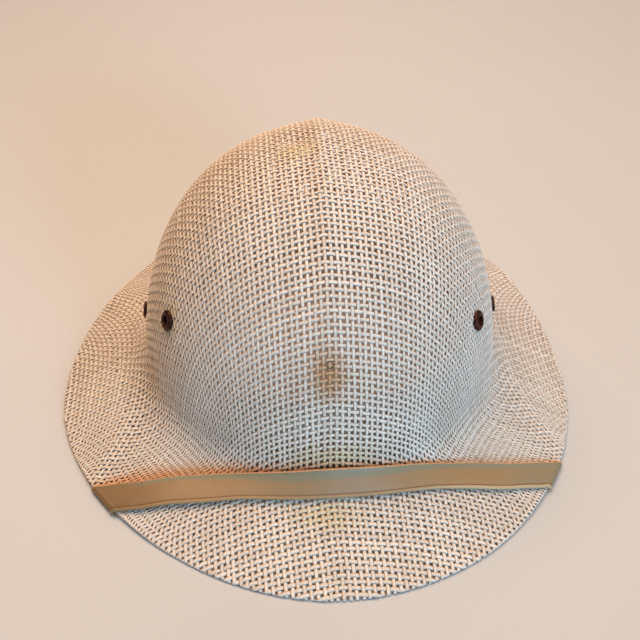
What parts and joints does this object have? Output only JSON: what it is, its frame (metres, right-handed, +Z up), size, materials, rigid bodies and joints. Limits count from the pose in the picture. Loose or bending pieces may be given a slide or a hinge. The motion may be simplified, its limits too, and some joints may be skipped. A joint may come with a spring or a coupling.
{
  "type": "woven mesh sun helmet",
  "caption": "Domed sun helmet of open woven mesh with a wide sloping brim, a flat strap worn over the front of the brim, a headband inside and metal eyelets in the crown.",
  "frame": {"origin": "on the surface that the helmet rests on, under the middle of its outline", "axes": "+Z up, the front of the helmet towards -Y, its left side as seen by a viewer in front towards -X"},
  "size_m": [0.29, 0.357, 0.149],
  "materials": {
    "weave": "matte twisted paper yarn, open plain weave, aged ivory",
    "hem": "matte turned edge of the same weave",
    "vinyl": "satin tan vinyl, worn and a little cracked",
    "band": "matte pale grey",
    "eyelet": "tarnished dark copper brown"
  },
  "bodies": {
    "root": {"woven_shell": "weave", "brim_hem": "hem", "strap": "vinyl", "headband": "band", "vent_eyelet_left": "eyelet", "vent_eyelet_right": "eyelet", "side_eyelet_left": "eyelet", "side_eyelet_right": "eyelet"}
  },
  "joints": []
}
